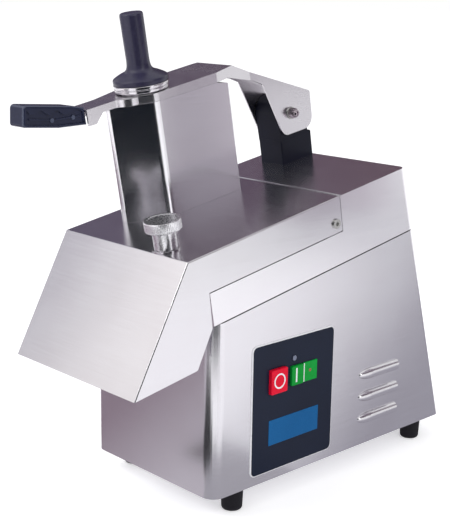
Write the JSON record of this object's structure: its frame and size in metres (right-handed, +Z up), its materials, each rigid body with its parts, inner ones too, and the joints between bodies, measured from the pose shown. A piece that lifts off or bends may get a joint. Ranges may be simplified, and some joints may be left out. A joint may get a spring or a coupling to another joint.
{
  "type": "vegetable slicing machine",
  "caption": "Bench-top vegetable slicer with a tilted deck, lever-fed chute with round plunger, discharge hood, belt-driven slicing disc and push-button panel.",
  "frame": {"origin": "centre of the overall box at floor level, under the feet", "axes": "+Z up, -Y to the discharge hood and the grip, +X to the side with the push buttons"},
  "size_m": [0.248, 0.602, 0.6124],
  "materials": {
    "brushed_stainless": "brushed along the sheet",
    "polished_stainless": "polished",
    "zinc_steel": "zinc plated",
    "dark_steel": "painted, satin",
    "cast_aluminium": "cast and turned",
    "brass_bush": "turned",
    "black_rubber": "matte",
    "black_moulding": "satin moulded",
    "black_gloss": "smooth moulded",
    "white_moulding": "satin moulded",
    "navy_panel": "satin printed panel",
    "red_button": "smooth moulded",
    "green_button": "smooth moulded",
    "green_lens": "clear moulded lens over a lamp"
  },
  "bodies": {
    "housing": {"base_shell": "brushed_stainless", "bottom_plate": "brushed_stainless", "rubber_feet": "black_rubber", "foot_screws": "zinc_steel", "head_shell": "brushed_stainless", "disc_pan": "cast_aluminium", "cover": "brushed_stainless", "feed_chute": "brushed_stainless", "lever_bracket": "black_moulding", "bracket_screws": "zinc_steel", "hinge_bushes": "brass_bush", "clamp_stud": "zinc_steel", "knob_washer": "polished_stainless", "pivot_lugs": "cast_aluminium", "cover_pivot_screws": "zinc_steel", "shaft_seal": "black_rubber", "pan_pillars": "zinc_steel", "motor_plate": "zinc_steel", "bearing_housing": "cast_aluminium", "spindle_bearings": "polished_stainless", "drive_belt": "black_rubber", "motor_stator": "dark_steel", "motor_bells": "cast_aluminium", "motor_bearings": "polished_stainless", "motor_bolts": "zinc_steel", "fan_cover": "dark_steel", "capacitor": "white_moulding", "control_panel": "navy_panel", "panel_screw": "zinc_steel", "pilot_lamp": "green_lens", "switch_block": "black_moulding", "cable_gland": "black_moulding", "safety_switches": "black_moulding"},
    "lever_arm": {"lever": "polished_stainless", "grip": "black_moulding", "grip_screws": "zinc_steel", "pusher": "black_moulding", "plunger_tube": "polished_stainless", "collar_ring": "polished_stainless", "hinge_pin": "polished_stainless", "hinge_washers": "zinc_steel", "hinge_nuts": "polished_stainless"},
    "plunger": {"plunger": "black_gloss"},
    "spindle": {"slicing_disc": "cast_aluminium", "disc_blades": "polished_stainless", "blade_screws": "zinc_steel", "disc_hub": "cast_aluminium", "ejector": "white_moulding", "drive_shaft": "polished_stainless", "drive_pin": "polished_stainless", "driven_pulley": "cast_aluminium"},
    "rotor": {"motor_rotor": "dark_steel", "motor_pulley": "cast_aluminium", "motor_fan": "black_moulding"},
    "clamp_knob": {"clamp_knob": "polished_stainless"},
    "stop_button": {"stop_button": "red_button"},
    "start_button": {"start_button": "green_button"}
  },
  "joints": [
    {"name": "lever_hinge", "type": "hinge", "parent": "housing", "child": "lever_arm", "pos_m": [-0.0705, 0.13543, 0.47192], "axis": [-1, 0, 0], "range_deg": [0, 72]},
    {"name": "plunger_slide", "type": "slide", "parent": "lever_arm", "child": "plunger", "axis": [0, -0.1822, 0.9833], "range_m": [0, 0.12]},
    {"name": "motor_spin", "type": "hinge", "parent": "housing", "child": "rotor", "pos_m": [0, 0.11896, 0.31937], "axis": [0, -0.1822, 0.9833], "continuous": true},
    {"name": "spindle_spin", "type": "hinge", "parent": "housing", "child": "spindle", "pos_m": [0, -0.06113, 0.3582], "axis": [0, -0.1822, 0.9833], "continuous": true},
    {"name": "knob_spin", "type": "hinge", "parent": "housing", "child": "clamp_knob", "pos_m": [0.06, -0.18845, 0.3702], "axis": [0, -0.1822, 0.9833], "continuous": true},
    {"name": "stop_press", "type": "slide", "parent": "housing", "child": "stop_button", "axis": [-1, 0, 0], "range_m": [0, 0.003], "stiffness_N_per_m": 300},
    {"name": "start_press", "type": "slide", "parent": "housing", "child": "start_button", "axis": [-1, 0, 0], "range_m": [0, 0.003], "stiffness_N_per_m": 300}
  ],
  "couplings": [
    {"joint": "spindle_spin", "follows": "motor_spin", "ratio": 0.21311}
  ]
}
